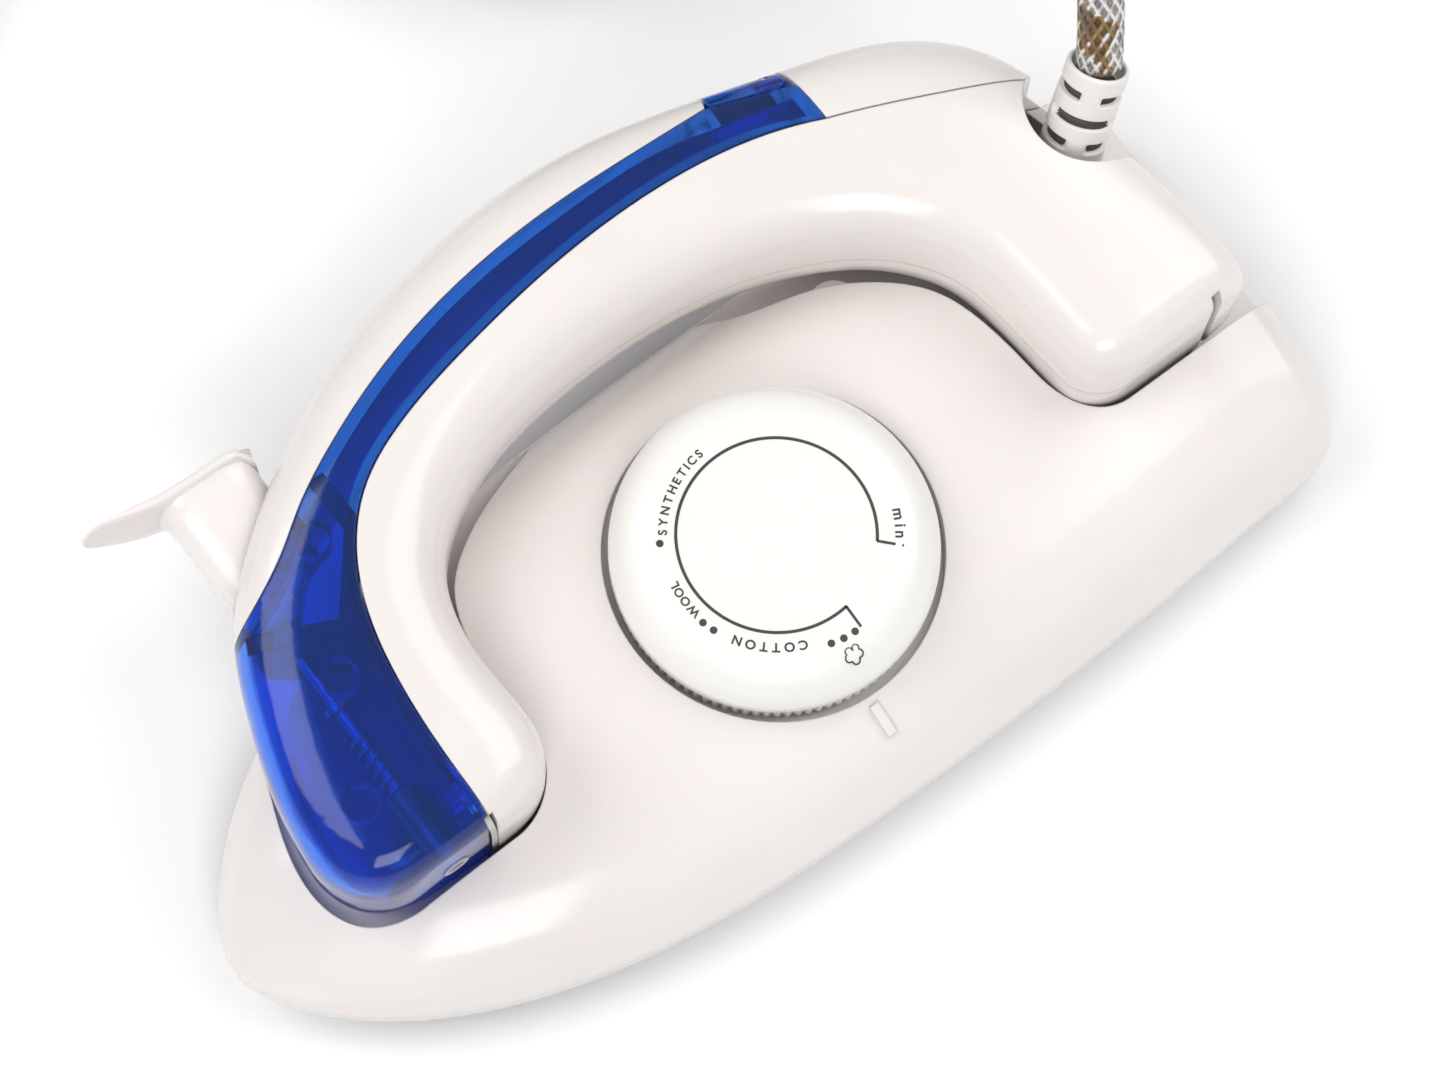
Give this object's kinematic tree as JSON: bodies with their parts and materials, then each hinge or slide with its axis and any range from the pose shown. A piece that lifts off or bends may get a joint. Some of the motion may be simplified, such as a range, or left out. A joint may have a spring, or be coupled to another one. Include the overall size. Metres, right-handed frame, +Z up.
{
  "type": "folding travel steam iron",
  "caption": "Small steam iron whose loop handle with translucent water tank folds flat beside a boat-shaped body with a round temperature dial and a braided mains lead.",
  "frame": {"origin": "centre of the soleplate's face on the table, on the iron's centreline and half way along the body", "axes": "+X to the iron's nose, +Y to the iron's left, +Z up; the handle is folded down to -Y at rest"},
  "size_m": [0.1984, 0.2268, 0.0845],
  "materials": {
    "white_shell": "moulded, high gloss",
    "dial_plastic": "milky translucent, satin gloss",
    "blue_tank": "translucent, polished outside",
    "sole_aluminium": "cast and polished",
    "chamber_steel": "plain sheet",
    "heater_tube": "matt sheathed tube",
    "heat_plastic": "moulded, matt",
    "steel": "bright",
    "brass": "plain turned",
    "ceramic": "unglazed",
    "silicone": "matt",
    "seal_rubber": "matt",
    "wire_sleeve": "woven glass sleeve",
    "cord_braid": "braided, white and silver with gold-brown flecks",
    "boot_plastic": "soft moulded",
    "plug_plastic": "moulded, satin",
    "tie_plastic": "coated strap"
  },
  "bodies": {
    "base": {"body_shell": "white_shell", "soleplate": "sole_aluminium", "chamber_gasket": "silicone", "chamber_cover": "chamber_steel", "heating_element": "heater_tube", "heat_skirt": "heat_plastic", "rear_hinge_ear": "steel", "front_hinge_ear": "steel", "shell_screws": "steel", "plate_screws": "steel", "ear_screws": "steel", "terminal_block": "ceramic", "thermal_fuse": "steel", "inlet_seal": "silicone", "inlet_tube": "brass", "thermostat": "ceramic", "supply_wires": "wire_sleeve", "mains_cord": "cord_braid", "cord_coil": "cord_braid", "coil_tie": "tie_plastic", "plug_lead": "cord_braid", "plug_body": "plug_plastic", "plug_pins": "brass"},
    "dial": {"dial_cap": "dial_plastic", "dial_skirt": "dial_plastic", "dial_spindle": "steel", "dial_clip": "steel"},
    "handle": {"handle_left": "white_shell", "handle_right": "white_shell", "water_tank": "blue_tank", "tank_partition": "blue_tank", "top_cover": "white_shell", "rear_cover": "white_shell", "rear_hinge_pin": "steel", "front_hinge_pin": "steel", "lid_pin": "steel", "handle_screws": "steel", "valve_housing": "brass", "drip_nozzle": "silicone", "return_spring": "steel", "cord_clamp": "heat_plastic", "cord_boot": "boot_plastic", "inner_lead": "wire_sleeve", "cord_lead": "cord_braid"},
    "button": {"steam_button": "white_shell", "plunger_rod": "steel", "valve_seal": "seal_rubber"},
    "lid": {"filler_lid": "blue_tank", "filler_plug": "seal_rubber"}
  },
  "joints": [
    {"name": "handle_fold", "type": "hinge", "parent": "base", "child": "handle", "pos_m": [0, 0.0035, 0.0365], "axis": [-1, 0, 0], "range_deg": [0, 90]},
    {"name": "dial_turn", "type": "hinge", "parent": "base", "child": "dial", "pos_m": [-0.0075, 0, 0.0285], "axis": [0, 0, 1], "range_deg": [0, 305]},
    {"name": "steam_button", "type": "slide", "parent": "handle", "child": "button", "axis": [0, 1, 0], "range_m": [0, 0.0035], "stiffness_N_per_m": 500, "springref_m": -0.002},
    {"name": "filler_lid", "type": "hinge", "parent": "handle", "child": "lid", "pos_m": [-0.0488, -0.058, 0.033], "axis": [0, 0, -1], "range_deg": [0, 90]}
  ]
}
